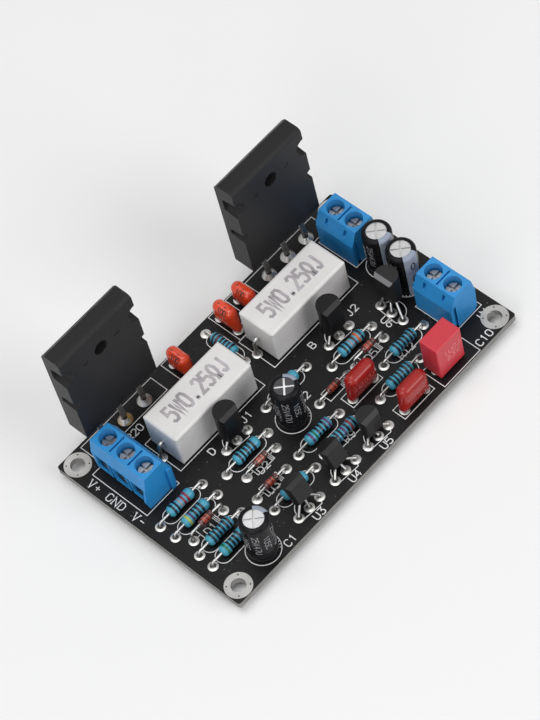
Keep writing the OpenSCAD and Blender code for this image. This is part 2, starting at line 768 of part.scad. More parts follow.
module power_transistor_case(i) {
    h = power_case[2];
    depth = power_case[1];
    hole_z = h - power_hole_drop;
    color("#232427")
        place_power(i)
            difference() {
                rotate([90, 0, 90])
                    linear_extrude(power_case[0], center = true)
                        power_side();
                translate([0, past, hole_z])
                    rotate([90, 0, 0])
                        cylinder(d = power_hole_d, h = depth + 2 * past);
                for (s = [-1, 1])
                    translate([s * power_case[0] / 2, -power_base_t, 0]) {
                        along_y(0, hole_z, clip_notch_r[0], clip_notch_r[1], depth - power_base_t);
                        along_y(0, h - step_notch_drop, step_notch_r[0], step_notch_r[1],
                            depth - power_base_t);
                    }
                for (p = [[-ejector[2], hole_z], [ejector[2], hole_z], [0, ejector[0]]])
                    translate([0, ejector[1] - depth, 0])
                        along_y(p[0], p[1], ejector[0] / 2, ejector[0] / 2, depth);
                translate([-heat_plate[0] / 2 - fit_gap, -heat_plate[1] - fit_gap,
                    h - heat_plate_drop - heat_plate[2] - fit_gap])
                    cube([heat_plate[0] + 2 * fit_gap, heat_plate[1] + fit_gap + past,
                        heat_plate[2] + 2 * fit_gap]);
                for (n = [-1:1])
                    translate([n * power_pitch, -power_leg_back, 0])
                        cube([power_leg[0] + 2 * fit_gap, power_leg[1] + 2 * fit_gap,
                            2 * (power_root + fit_gap)], center = true);
            }
}

// One leg seen from the side: straight out of the case, then set forward to its pad
module leg_side(top, low) {
    half = power_leg[1] / 2;
    step_low = top_z + power_rise / 3;
    step_high = top_z + power_rise - power_shoulder[1];
    polygon([
        [power_leg_y - half, top], [power_leg_y - half, step_high], [power_pad_y - half, step_low],
        [power_pad_y - half, low], [power_pad_y + half, low], [power_pad_y + half, step_low],
        [power_leg_y + half, step_high], [power_leg_y + half, top]
    ]);
}

module power_leg_piece(x) {
    case_z = top_z + power_rise;
    translate([x, 0, 0]) {
        rotate([90, 0, 90])
            linear_extrude(power_leg[0], center = true)
                leg_side(case_z + power_root, -tail_l);
        translate([-power_shoulder[0] / 2, power_leg_y - power_leg[1] / 2, case_z - power_shoulder[1]])
            cube([power_shoulder[0], power_leg[1], power_shoulder[1]]);
    }
}

// Heat plate in the back of the case, and the three legs
module power_transistor_frame(i) {
    hole_z = power_case[2] - power_hole_drop;
    color("#b8b2a6") {
        place_power(i)
            difference() {
                translate([-heat_plate[0] / 2, -heat_plate[1],
                    power_case[2] - heat_plate_drop - heat_plate[2]])
                    cube(heat_plate);
                translate([0, past, hole_z])
                    rotate([90, 0, 0])
                        cylinder(d = power_hole_d, h = heat_plate[1] + 2 * past);
            }
        for (n = [-1:1])
            power_leg_piece(power_x[i] + n * power_pitch);
    }
}

module ceramic_resistor(i) {
    color("#ededec")
        translate([ceramic_at[i][0], ceramic_at[i][1], top_z])
            rounded_block(ceramic, ceramic_r);
}

module ceramic_resistor_leads() {
    color("silver")
        for (p = ceramic_at)
            translate(p)
                axial_leads(ceramic[0], ceramic_pitch, top_z + ceramic_lead_z, ceramic_lead_d,
                    ceramic_bend_r);
}

// Half of a film resistor's profile, from the flat end to the waist
function film_half() =
    let (
        flat_r = lead_d,
        end_r = film_d[0] / 2,
        waist_r = film_d[1] / 2,
        start = film_l / 2,
        end_round = film_cap_l / 2
    )
    concat(
        [[0, start]],
        [for (a = [0:18:90]) [flat_r + (end_r - flat_r) * sin(a), start - end_round * (1 - cos(a))]],
        [for (s = [0:0.25:1])
            [end_r - (end_r - waist_r) * (1 - cos(180 * s)) / 2, start - film_cap_l - s * film_taper_l]]
    );
// A half profile and its mirror image
function whole(half) = concat(half, [for (i = [len(half) - 1:-1:0]) [half[i][0], -half[i][1]]]);

module film_resistor(i) {
    color("#39a7d8")
        translate([film_at[i][0], film_at[i][1], film_z])
            rotate(i == film_last - 1 ? 90 : 0)
                rotate([0, 90, 0])
                    rotate_extrude()
                        polygon(whole(film_half()));
}

module film_resistor_leads() {
    color("silver")
        for (i = [0:film_last - 1])
            translate(film_at[i])
                rotate(i == film_last - 1 ? 90 : 0)
                    axial_leads(film_l, i == film_last - 1 ? cross_pitch : film_pitch, film_z, lead_d,
                        bend_r);
}

// Half of a diode's glass profile
function diode_half() =
    let (flat_r = diode_flat * diode[1] / 2, round_l = diode_round * diode[0] / 2)
    concat(
        [[0, diode[0] / 2]],
        [for (a = [0:30:90]) [
            flat_r + (diode[1] / 2 - flat_r) * sin(a), diode[0] / 2 - round_l * (1 - cos(a))
        ]]
    );

module diodes() {
    color("#d2552f")
        for (i = [0:len(diode_at) - 1])
            translate([diode_at[i][0], diode_at[i][1], diode_z(i)])
                rotate([0, 90, 0])
                    rotate_extrude()
                        polygon(whole(diode_half()));
}

module diode_leads() {
    color("silver")
        for (i = [0:len(diode_at) - 1])
            translate(diode_at[i])
                axial_leads(diode[0], diode_pitch, diode_z(i), lead_d, bend_r);
}

// Small transistor case: round back, flat front with a chamfered top edge
module small_case(size) {
    back = size[1] - flat_to_leads;
    intersection() {
        linear_extrude(size[2])
            translate([0, back - size[0] / 2])
                circle(d = size[0]);
        rotate([90, 0, 90])
            linear_extrude(2 * size[0], center = true)
                polygon([
                    [-flat_to_leads, 0], [back + past, 0], [back + past, size[2]],
                    [flat_chamfer - flat_to_leads, size[2]], [-flat_to_leads, size[2] - flat_chamfer]
                ]);
    }
}

// Frame of a small transistor: its lead row on the underside of the case
module place_small(at, turn, setback, rise, lean, shift = 0) {
    translate([at[0], at[1], top_z])
        rotate(turn)
            translate([shift, setback, rise])
                rotate([-lean, 0, 0])
                    children();
}

// The three leads of a small transistor, spread from its case to its pads
module small_leads(at, turn, setback, rise, lean, shift = 0) {
    translate([at[0], at[1], top_z])
        rotate(turn)
            for (i = [-1:1]) {
                elbow = [i * spread_pitch, 0, lead_elbow];
                exit = [shift + i * case_lead_pitch, setback, rise];
                knee = exit - lead_stub * [0, sin(lean), cos(lean)];
                translate([elbow[0], 0, -board_t - tail_l])
                    cylinder(d = lead_d, h = board_t + tail_l + lead_elbow);
                translate(elbow)
                    sphere(d = elbow_d);
                rod(elbow, knee, lead_d);
                translate(knee)
                    sphere(d = elbow_d);
                rod(knee, exit, lead_d);
            }
}

module driver_transistor(i) {
    color("#1d1d1f")
        place_small(driver_at[i], driver_turn[i], driver_setback[i], driver_rise[i], 0, driver_shift[i])
            small_case(concat(driver_case, driver_h[i]));
}

module signal_transistor(i) {
    color("#1d1d1f")
        place_small(signal_at[i], 0, signal_setback[i], signal_rise[i], signal_lean[i])
            small_case(signal_case);
}

module small_transistor_leads() {
    color("silver")
        for (i = [0:2]) {
            small_leads(driver_at[i], driver_turn[i], driver_setback[i], driver_rise[i], 0, driver_shift[i]);
            small_leads(signal_at[i], 0, signal_setback[i], signal_rise[i], signal_lean[i]);
        }
}

// Side of a can or sleeve from its rim over the crimp to its rounded top edge
function can_side(r, h, edge) = concat(
    [[r, 0], [r, crimp[0] - 2 * crimp[1]], [r - crimp[1], crimp[0]], [r, crimp[0] + 2 * crimp[1]]],
    [for (a = [0:15:90]) [r - edge + edge * cos(a), h - edge + edge * sin(a)]]
);

module capacitor_sleeve(i) {
    inner = can_side(sleeve_inner_r, can[1] - sleeve_t, can_round + fit_gap);
    outer = can_side(can[0] / 2, can[1], can_round + fit_gap + sleeve_t);
    lip_r = can_r - can_round - sleeve_lip;
    color("#17181c")
        translate([can_at[i][0], can_at[i][1], top_z])
            rotate_extrude()
                polygon(concat(
                    outer, [[lip_r, can[1]], [lip_r, can[1] - sleeve_t]],
                    [for (k = [len(inner) - 1:-1:0]) inner[k]]
                ));
}

// Aluminium can, open below for the seal, with a vent cross pressed in its top
module capacitor_can() {
    pocket_z = seal_recess + seal[1];
    difference() {
        rotate_extrude()
            polygon(concat(
                can_side(can_r, can_h, can_round),
                [[0, can_h], [0, pocket_z], [seal[0] / 2 + fit_gap, pocket_z], [seal[0] / 2 + fit_gap, 0]]
            ));
        for (a = [45, 135])
            translate([0, 0, can_h])
                rotate(a)
                    cube([vent[0], vent[1], 2 * vent[2]], center = true);
    }
}

module capacitor_cans() {
    color("#d5d6d8")
        for (p = can_at)
            translate([p[0], p[1], top_z])
                capacitor_can();
}

module capacitor_seals() {
    color("#2b2b2b")
        for (p = can_at)
            translate([p[0], p[1], top_z + seal_recess])
                cylinder(d = seal[0], h = seal[1]);
}

// Dipped body: thick rounded top, coating drawn in around the two leads, flat where they leave
module coated_body(l, t, h, pitch) {
    intersection() {
        hull()
            for (s = [-1, 1]) {
                translate([s * (l - t) / 2, 0, h - t / 2])
                    sphere(d = t, $fn = hull_fn);
                translate([s * (l - t) / 2, 0, h / 2])
                    sphere(d = t, $fn = hull_fn);
                translate([s * pitch / 2, 0, coat_r / 2])
                    sphere(coat_r, $fn = hull_fn);
            }
        translate([-big / 2, -big / 2, 0])
            cube(big);
    }
}

module dipped_capacitors() {
    color("#d8431f")
        for (p = dipped_at)
            translate([p[0], p[1], top_z + coat_rise])
                rotate(90)
                    coated_body(dipped[1], dipped[0], dipped[2], dipped_pitch);
}

module film_capacitors() {
    color("#a31c1c")
        for (p = foil_at)
            translate([p[0], p[1], top_z + coat_rise])
                coated_body(foil[0], foil[1], foil[2], foil_pitch);
}

module box_capacitor() {
    color("#c23145")
        translate([box_at[0], box_at[1], top_z]) {
            translate([0, 0, box_foot[1]])
                rounded_block(box_cap, box_r);
            for (x = [-1, 1], y = [-1, 1])
                translate([
                    x * (box_cap[0] / 2 - box_r - box_foot[0] / 2),
                    y * (box_cap[1] / 2 - box_r - box_foot[0] / 2), box_foot[1]
                ])
                    cube([box_foot[0], box_foot[0], 2 * box_foot[1]], center = true);
        }
}

module capacitor_leads() {
    color("silver") {
        for (p = can_at, lead = pad_pair(p, can_pitch))
            straight_lead(lead, top_z + seal_recess);
        for (p = dipped_at, lead = pad_pair(p, dipped_pitch, 90))
            straight_lead(lead, top_z + coat_rise);
        for (p = foil_at, lead = pad_pair(p, foil_pitch))
            straight_lead(lead, top_z + coat_rise);
        for (lead = pad_pair(box_at, box_pitch))
            straight_lead(lead, top_z + box_foot[1]);
    }
}

circuit_board();
solder_joints();
terminal_contacts();
for (b = blocks)
    terminal_housing(b);
for (b = blocks, i = [0:b[3] - 1])
    clamp_screw(b, i);
for (b = blocks, i = [0:b[3] - 1])
    wire_guard(b, i);
for (i = [0:1])
    power_transistor_case(i);
for (i = [0:1])
    power_transistor_frame(i);
for (i = [0:1])
    ceramic_resistor(i);
ceramic_resistor_leads();
for (i = [0:film_last - 1])
    film_resistor(i);
film_resistor_leads();
diodes();
diode_leads();
for (i = [0:2])
    driver_transistor(i);
for (i = [0:2])
    signal_transistor(i);
small_transistor_leads();
for (i = [0:3])
    capacitor_sleeve(i);
capacitor_cans();
capacitor_seals();
dipped_capacitors();
film_capacitors();
box_capacitor();
capacitor_leads();
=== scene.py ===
import math

import bpy
from mathutils import Matrix, Vector


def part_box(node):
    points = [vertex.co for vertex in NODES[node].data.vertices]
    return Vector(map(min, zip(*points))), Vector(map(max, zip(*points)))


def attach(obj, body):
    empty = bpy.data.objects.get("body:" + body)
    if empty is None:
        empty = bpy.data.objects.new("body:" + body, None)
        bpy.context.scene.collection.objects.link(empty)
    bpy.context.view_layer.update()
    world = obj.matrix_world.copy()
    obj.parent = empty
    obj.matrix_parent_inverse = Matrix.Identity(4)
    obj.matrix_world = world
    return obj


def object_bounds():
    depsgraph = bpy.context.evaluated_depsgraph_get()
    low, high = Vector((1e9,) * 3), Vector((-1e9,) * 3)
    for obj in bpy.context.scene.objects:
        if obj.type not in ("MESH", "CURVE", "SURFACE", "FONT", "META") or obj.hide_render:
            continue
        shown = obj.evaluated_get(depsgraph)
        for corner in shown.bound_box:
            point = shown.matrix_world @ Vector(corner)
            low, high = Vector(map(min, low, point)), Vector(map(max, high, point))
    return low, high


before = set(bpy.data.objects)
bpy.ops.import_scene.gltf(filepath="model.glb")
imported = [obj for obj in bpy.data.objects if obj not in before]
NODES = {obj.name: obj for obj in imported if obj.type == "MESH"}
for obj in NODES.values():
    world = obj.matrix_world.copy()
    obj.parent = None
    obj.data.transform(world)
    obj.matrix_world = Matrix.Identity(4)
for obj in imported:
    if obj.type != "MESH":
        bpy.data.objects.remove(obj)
cad_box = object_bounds()
ROOT = "board"
MM = 0.001
UP = (0, 0, 1)
DOWN = (0, 0, -1)


# Places and sizes, in millimetres, in the frame of the solids

def extent(name):
    """The lowest and the highest corner of a node."""
    return [[round(c / MM, 4) for c in corner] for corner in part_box(name)]


def middle(name):
    """The middle of a node, seen from above."""
    low, high = extent(name)
    return tuple(round((a + b) / 2, 3) for a, b in zip(low[:2], high[:2]))


def length(name):
    """A node's length from left to right."""
    low, high = extent(name)
    return high[0] - low[0]


BOARD_END, BOARD_SIDE, BOARD_T = extent("circuit_board")[1]
MOUNT_INSET = 3.0
MOUNT_X, MOUNT_Y = BOARD_END - MOUNT_INSET, BOARD_SIDE - MOUNT_INSET
MOUNT = [(x, y) for x in (-MOUNT_X, MOUNT_X) for y in (-MOUNT_Y, MOUNT_Y)]

# The last film resistor runs across the board
FILM_COUNT = 13
FILM_NAMES = ["film_resistor_%d" % (i + 1) for i in range(FILM_COUNT)]
FILM = [middle(name) for name in FILM_NAMES]
FILM_CROSSWISE = [name == FILM_NAMES[-1] for name in FILM_NAMES]
FILM_L = length(FILM_NAMES[0])
FILM_PITCH = 12.0
CROSS_PITCH = 11.0

# The turn of each can's stripe is in degrees from the right
CAN_COUNT = 4
SLEEVE_NAMES = ["capacitor_sleeve_%d" % (i + 1) for i in range(CAN_COUNT)]
CAN = [middle(name) for name in SLEEVE_NAMES]
CAN_R = length(SLEEVE_NAMES[0]) / 2
CAN_TOP = extent("capacitor_cans")[1][2]
CAN_PITCH = 2.5
STRIPE_TURN = (15, 15, -95, -95)

CERAMIC_NAMES = ("left_ceramic_resistor", "right_ceramic_resistor")
CERAMIC = [middle(name) for name in CERAMIC_NAMES]
CERAMIC_TOP = extent(CERAMIC_NAMES[0])[1][2]
CERAMIC_PITCH = 24.8

POWER_NAMES = ("left_power_transistor_case", "right_power_transistor_case")
POWER_X = [middle(name)[0] for name in POWER_NAMES]
POWER_LEG_PITCH = 5.6
POWER_LEG_Y = 21.6

BOX = middle("box_capacitor")
BOX_FRONT = extent("box_capacitor")[0][1]
BOX_PITCH = 5.0

# Parts that share a node, or that lean away from their pads, so that their places are given:
# x, y, and for the small transistors the turn in degrees
DIODE = [(-32, -8.5), (-15.3, -7.2), (-17.6, -12.1), (16.7, -7.4), (5.9, -7.4)]
DIODE_R = 0.75
DIODE_Z = [BOARD_T + gap + DIODE_R for gap in (2.3, 0.9, 0.4, 1.9, 0.4)]
DIODE_PITCH = 8.5
SIGNAL = [(-17, -21.5, 0), (-6.5, -21.6, 0), (3.2, -21.6, 0)]
DRIVER = [(-14.5, 0.2, 0), (16, 0.2, 0), (26.4, -4.8, -90)]
SMALL_PITCH = 3.0
COATED_FOOT = 0.8
DIPPED = [(-9.2, 20.1), (4.6, 20.1), (10.1, 20.1)]
DIPPED_H = 6.0
DIPPED_R = 1.45
DIPPED_PITCH = 5.0
FOIL = [(9.5, -12), (13.75, -21.9)]
FOIL_FRONT = 1.6
FOIL_PITCH = 6.0


# Materials

NOISE_SPAN = (0.3, 0.7)


class Nodes:
    """A material's node tree, with short calls for the nodes used here, in millimetres."""

    def __init__(self, name):
        self.material = bpy.data.materials.new(name)
        self.material.use_nodes = True
        self.tree = self.material.node_tree
        self.bsdf = self.tree.nodes["Principled BSDF"]
        self.place = self.add("ShaderNodeTexCoord").outputs["Object"]

    def add(self, kind, **settings):
        node = self.tree.nodes.new(kind)
        for key, value in settings.items():
            setattr(node, key, value)
        return node

    def link(self, output, socket):
        self.tree.links.new(output, socket)

    def noise(self, scale, detail=2.0, roughness=0.6, stretch=None):
        node = self.add("ShaderNodeTexNoise")
        node.inputs["Scale"].default_value = scale
        node.inputs["Detail"].default_value = detail
        node.inputs["Roughness"].default_value = roughness
        place = self.place
        if stretch:
            mapping = self.add("ShaderNodeMapping")
            mapping.inputs["Scale"].default_value = stretch
            self.link(place, mapping.inputs["Vector"])
            place = mapping.outputs["Vector"]
        self.link(place, node.inputs["Vector"])
        return node.outputs["Fac"]

    def math(self, operation, a, b=0.0):
        node = self.add("ShaderNodeMath", operation=operation)
        for socket, value in zip(node.inputs, (a, b)):
            if isinstance(value, (int, float)):
                socket.default_value = value
            else:
                self.link(value, socket)
        return node.outputs[0]

    def mix(self, factor, a, b):
        # The colours are inputs 6 and 7 and output 2 of this node
        node = self.add("ShaderNodeMix", data_type="RGBA")
        self.link(factor, node.inputs[0])
        for socket, value in ((node.inputs[6], a), (node.inputs[7], b)):
            if isinstance(value, tuple):
                socket.default_value = (*value, 1.0)
            else:
                self.link(value, socket)
        return node.outputs[2]

    def range(self, value, low, high, to_low=0.0, to_high=1.0):
        """The value, with low to high stretched to the other two."""
        node = self.add("ShaderNodeMapRange")
        self.link(value, node.inputs["Value"])
        limits = {"From Min": low, "From Max": high, "To Min": to_low, "To Max": to_high}
        for key, number in limits.items():
            node.inputs[key].default_value = number
        return node.outputs["Result"]

    def cloud(self, noise, a, b):
        """One colour to the other, as the noise goes."""
        return self.mix(self.range(noise, *NOISE_SPAN), a, b)

    def steps(self, factor, stops):
        """Colours that change at once at each stop."""
        node = self.add("ShaderNodeValToRGB")
        node.color_ramp.interpolation = "CONSTANT"
        elements = node.color_ramp.elements
        while len(elements) > 1:
            elements.remove(elements[-1])
        elements[0].position, elements[0].color = stops[0][0], (*stops[0][1], 1.0)
        for position, colour in stops[1:]:
            elements.new(position).color = (*colour, 1.0)
        self.link(factor, node.inputs["Fac"])
        return node.outputs["Color"]

    def axes(self, place=None):
        """The three coordinates of a place, or of the place on the piece, in metres."""
        node = self.add("ShaderNodeSeparateXYZ")
        self.link(place or self.place, node.inputs[0])
        return node.outputs

    def facing(self, direction, least):
        """1 where the surface looks in that direction, else 0."""
        node = self.add("ShaderNodeVectorMath", operation="DOT_PRODUCT")
        self.link(self.add("ShaderNodeNewGeometry").outputs["Normal"], node.inputs[0])
        node.inputs[1].default_value = Vector(direction).normalized()
        return self.math("GREATER_THAN", node.outputs["Value"], least)

    def above(self, value, limit):
        return self.math("GREATER_THAN", value, limit * MM)

    def below(self, value, limit):
        return self.math("LESS_THAN", value, limit * MM)

    def within(self, value, centre, half):
        """1 where the value is within half of the centre, else 0."""
        return self.below(self.math("ABSOLUTE", self.math("SUBTRACT", value, centre * MM)), half)

    def both(self, a, b):
        return self.math("MULTIPLY", a, b)

    def near(self, axes, at, half_x, half_y):
        """1 in a rectangle around a place on the board, else 0."""
        return self.both(self.within(axes[0], at[0], half_x), self.within(axes[1], at[1], half_y))

    def bump(self, height, depth):
        node = self.add("ShaderNodeBump")
        node.inputs["Distance"].default_value = depth * MM
        node.inputs["Strength"].default_value = 1.0
        self.link(height, node.inputs["Height"])
        self.link(node.outputs["Normal"], self.bsdf.inputs["Normal"])

    def base(self):
        """What feeds the base colour so far."""
        return self.bsdf.inputs["Base Color"].links[0].from_socket

    def colour(self, output):
        self.link(output, self.bsdf.inputs["Base Color"])

    def rough(self, noise, low, high):
        self.link(self.range(noise, *NOISE_SPAN, low, high), self.bsdf.inputs["Roughness"])

    def set(self, **values):
        for key, value in values.items():
            self.bsdf.inputs[key.replace("_", " ")].default_value = value


def shade(colour, factor):
    return tuple(min(1.0, c * factor) for c in colour)


def plain(name, colour, grain, roughness, depth=0.004, vary=0.12, metal=0.0, **sockets):
    """Moulded, dipped, drawn or printed surface, uneven in colour and gloss, in millimetres."""
    m = Nodes(name)
    fine = m.noise(1.0 / (grain * MM), detail=3.0)
    broad = m.noise(220.0)
    m.colour(m.cloud(broad, shade(colour, 1 - vary), shade(colour, 1 + vary)))
    m.rough(fine, roughness * 0.85, roughness * 1.15)
    m.bump(fine, depth)
    m.set(Metallic=metal, **sockets)
    return m


def coat(name, m):
    """Give one node that material."""
    materials = NODES[name].data.materials
    materials.clear()
    materials.append(m.material)


def paint(m, *prefixes):
    """Give that material to the nodes whose names start with a prefix."""
    for name in NODES:
        if name.startswith(prefixes):
            coat(name, m)


def board_coat():
    """Solder-resist coat over glass fibre, with specks of dust and a raw sawn edge."""
    m = Nodes("board_coat")
    weave = m.noise(700.0)
    specks = m.range(m.noise(1400.0, detail=1.0, roughness=0.4), 0.74, 0.78)
    resist = m.cloud(weave, (0.0055, 0.0053, 0.0057), (0.0085, 0.0082, 0.0088))
    resist = m.mix(specks, resist, (0.09, 0.09, 0.09))
    flat = m.math("MAXIMUM", m.facing(UP, 0.5), m.facing(DOWN, 0.5))
    side = m.math("SUBTRACT", 1.0, flat)
    layers = m.range(m.noise(400.0, stretch=(1, 1, 12)), 0.35, 0.65)
    edge = m.mix(layers, (0.17, 0.165, 0.155), (0.3, 0.295, 0.285))
    m.colour(m.mix(side, resist, edge))
    m.link(m.range(side, 0, 1, 0.34, 0.75), m.bsdf.inputs["Roughness"])
    m.bump(weave, 0.008)
    m.set(Specular_IOR_Level=0.18)
    return m


def solder():
    """Pale solder, with a ring of painted shade where it sinks in round a small lead, and flux left
    on one joint.
    """
    flux_at = (POWER_X[0], POWER_LEG_Y)
    flux_half = 2.0
    small_pads_to_y = 20.5
    shaded_ring_z = BOARD_T + 0.23
    shaded_ring_half = 0.035
    m = Nodes("solder")
    axes = m.axes()
    skin = m.noise(900.0)
    pale = m.cloud(skin, (0.4, 0.395, 0.385), (0.6, 0.59, 0.575))
    # Painted shade: a dark ring where the solder sinks into the hole round each small lead, broken
    # up by noise
    sunk = m.both(m.within(axes[2], shaded_ring_z, shaded_ring_half), m.below(axes[1], small_pads_to_y))
    sunk = m.both(sunk, m.range(m.noise(350.0, detail=1.0), 0.4, 0.55, 0.35, 1))
    pale = m.mix(sunk, pale, (0.07, 0.068, 0.064))
    stain = m.near(axes, flux_at, flux_half, flux_half)
    stain = m.both(stain, m.range(m.noise(700.0), 0.4, 0.56, 0, 0.95))
    m.colour(m.mix(stain, pale, (0.5, 0.33, 0.1)))
    m.rough(skin, 0.32, 0.52)
    m.bump(skin, 0.025)
    m.set(Metallic=1.0)
    return m


def power_epoxy():
    """Moulded epoxy with fine sparkle and handling marks, a darker top as painted shade, and a back
    strip on the top painted in shade on the left case and lit on the right, with a painted
    highlight along its edge.
    """
    strip_y = 24.4
    edge_highlight_half = 0.1
    m = Nodes("epoxy_moulding")
    x, y = m.axes()[:2]
    grit = m.noise(2600.0, detail=3.0)
    rubs = m.noise(160.0, detail=6.0, roughness=0.75, stretch=(1, 1, 5))
    marks = m.range(rubs, 0.62, 0.7, 0, 0.5)
    top = m.facing(UP, 0.6)
    strip = m.both(top, m.above(y, strip_y))
    # Painted shade on the back strip of the left case, and painted light on the back strip of the
    # right case
    shaded_left_strip = m.both(strip, m.below(x, 0.0))
    lit_right_strip = m.both(strip, m.above(x, 0.0))
    # Painted highlight: a broken pale line along the front edge of the back strip
    edge_highlight = m.both(top, m.within(y, strip_y, edge_highlight_half))
    edge_highlight = m.both(edge_highlight, m.range(m.noise(320.0, detail=3.0), 0.5, 0.56))
    case = m.mix(m.range(grit, 0.35, 0.7), (0.012, 0.012, 0.013), (0.024, 0.024, 0.026))
    # The top face's tint is painted shade that makes the top darker than the sides; the rub marks
    # are real
    for factor, tint in ((marks, (0.045, 0.045, 0.047)), (top, (0.0085, 0.0085, 0.009)),
                         (shaded_left_strip, (0.003, 0.003, 0.0035)), (lit_right_strip, (0.03, 0.03, 0.032)),
                         (edge_highlight, (0.16, 0.16, 0.165))):
        case = m.mix(factor, case, tint)
    m.colour(case)
    m.rough(grit, 0.4, 0.56)
    m.bump(grit, 0.012)
    m.set(Specular_IOR_Level=0.22)
    return m


def small_epoxy():
    """Epoxy of the small transistors, with a painted highlight on the chamfer that looks up to the
    left.
    """
    m = plain("small_epoxy", (0.009, 0.009, 0.0095),
              grain=0.1, roughness=0.42, depth=0.006, vary=0.2, Specular_IOR_Level=0.3)
    # Painted highlight: the chamfer that looks up to the left is made pale grey
    m.colour(m.mix(m.facing((-1, 0, 1), 0.97), m.base(), (0.2, 0.2, 0.205)))
    return m


def white_ceramic():
    """Unglazed white ceramic with small pits."""
    m = Nodes("white_ceramic")
    pits = m.noise(1500.0, detail=4.0)
    m.colour(m.cloud(m.noise(140.0), (0.66, 0.65, 0.645), (0.73, 0.72, 0.715)))
    m.rough(pits, 0.48, 0.62)
    m.bump(pits, 0.02)
    return m


def orange_glass():
    """Glass of the diodes: bright in the middle, with a dark slug in it and dark ends."""
    bright_half = 0.95
    slug_half = 0.18
    across = 2.0
    m = Nodes("orange_glass")
    axes = m.axes()

    def along_each(half):
        """1 within that distance of the middle of each diode's length, else 0."""
        found = None
        for at in DIODE:
            place = m.near(axes, at, half, across)
            found = place if found is None else m.math("MAXIMUM", found, place)
        return found

    swirl = m.noise(900.0)
    clear = m.cloud(swirl, (0.3, 0.035, 0.015), (0.42, 0.085, 0.05))
    clear = m.mix(along_each(bright_half), (0.1, 0.016, 0.014), clear)
    m.colour(m.mix(along_each(slug_half), clear, (0.14, 0.02, 0.015)))
    m.rough(swirl, 0.06, 0.14)
    m.bump(swirl, 0.008)
    m.set(Coat_Weight=0.5)
    return m


def drawn_aluminium():
    """Metal of the cans. The second can's top carries a painted dark reflection, with a painted
    highlight on its vent cross.
    """
    dark_reflection_at = CAN[1]
    dark_reflection_half = 3.2
    groove_depth = 0.1
    m = plain("drawn_aluminium", (0.5, 0.5, 0.505),
              grain=0.12, roughness=0.52, depth=0.006, vary=0.08, metal=1.0)
    metal = m.base()
    axes = m.axes()
    groove = m.below(axes[2], CAN_TOP - groove_depth)
    # Painted reflection: the top of the second can is darkened
    dark_reflection = m.near(axes, dark_reflection_at, dark_reflection_half, dark_reflection_half)
    top_with_dark_reflection = m.mix(dark_reflection, metal, (0.07, 0.07, 0.075))
    # Painted highlight: the second can's vent cross is made bright
    cross = m.mix(dark_reflection, metal, (0.75, 0.75, 0.755))
    m.colour(m.mix(groove, top_with_dark_reflection, cross))
    return m


# Colour bands of the film resistors, from the left or front end, where a space is no band
SKY = (0.058, 0.335, 0.47)
BAND = {
    "k": (0.008, 0.007, 0.008), "b": (0.07, 0.022, 0.012), "r": (0.2, 0.012, 0.02),
    "o": (0.5, 0.12, 0.03), "y": (0.4, 0.45, 0.06), "g": (0.01, 0.16, 0.07),
    "p": (0.08, 0.03, 0.12), "w": (0.24, 0.24, 0.28),
}
BAND_AT = (-2.2, -1.25, -0.35, 0.55, 1.45, 2.3)
BAND_W = 0.56
CODES = ("kkwrr ", "ypkkk ", "kkkkkk", "gkkkk ", "kkkkk ", "kkkkk ", "kkkbb ",
         "pgkkkp", "kkpkrk", "kkwbok", "kkkkkk", "kkkkkk", "kkkkbk")


def film_body(i):
    """Blue lacquer with the colour bands of one film resistor."""
    axis = 1 if FILM_CROSSWISE[i] else 0
    ends = [(FILM[i][axis] + side * FILM_L / 2) * MM for side in (-1, 1)]
    stops = [(0.0, SKY)]
    for place, letter in zip(BAND_AT, CODES[i]):
        if letter != " ":
            stops.append(((place - BAND_W / 2) / FILM_L + 0.5, BAND[letter]))
            stops.append(((place + BAND_W / 2) / FILM_L + 0.5, SKY))
    m = Nodes("film_body_%d" % (i + 1))
    lacquer = m.steps(m.range(m.axes()[axis], *ends), stops)
    wave = m.noise(500.0)
    m.colour(m.mix(m.range(wave, *NOISE_SPAN, 0, 0.16), lacquer, (0.02, 0.15, 0.3)))
    m.rough(wave, 0.24, 0.36)
    m.bump(wave, 0.02)
    m.set(Coat_Weight=0.1, Specular_IOR_Level=0.35)
    return m


def sleeve(i):
    """Glossy black sleeve of one can, with a pale stripe along its minus side."""
    stripe_half = 33.0
    x, y = CAN[i]
    m = Nodes("sleeve_%d" % (i + 1))
    move = m.add("ShaderNodeMapping")
    move.inputs["Location"].default_value = (-x * MM, -y * MM, -BOARD_T * MM)
    m.link(m.place, move.inputs["Vector"])
    spin = m.add("ShaderNodeVectorRotate", rotation_type="Z_AXIS")
    spin.inputs["Angle"].default_value = -math.radians(STRIPE_TURN[i])
    m.link(move.outputs["Vector"], spin.inputs["Vector"])
    along, aside = m.axes(spin.outputs["Vector"])[:2]
    angle = m.math("ABSOLUTE", m.math("ARCTAN2", aside, along))
    stripe = m.math("LESS_THAN", angle, math.radians(stripe_half))
    film = m.noise(600.0)
    black = m.cloud(film, (0.006, 0.006, 0.007), (0.01, 0.01, 0.012))
    m.colour(m.mix(stripe, black, (0.3, 0.34, 0.42)))
    m.rough(film, 0.2, 0.3)
    m.bump(film, 0.012)
    m.set(Specular_IOR_Level=0.09)
    return m


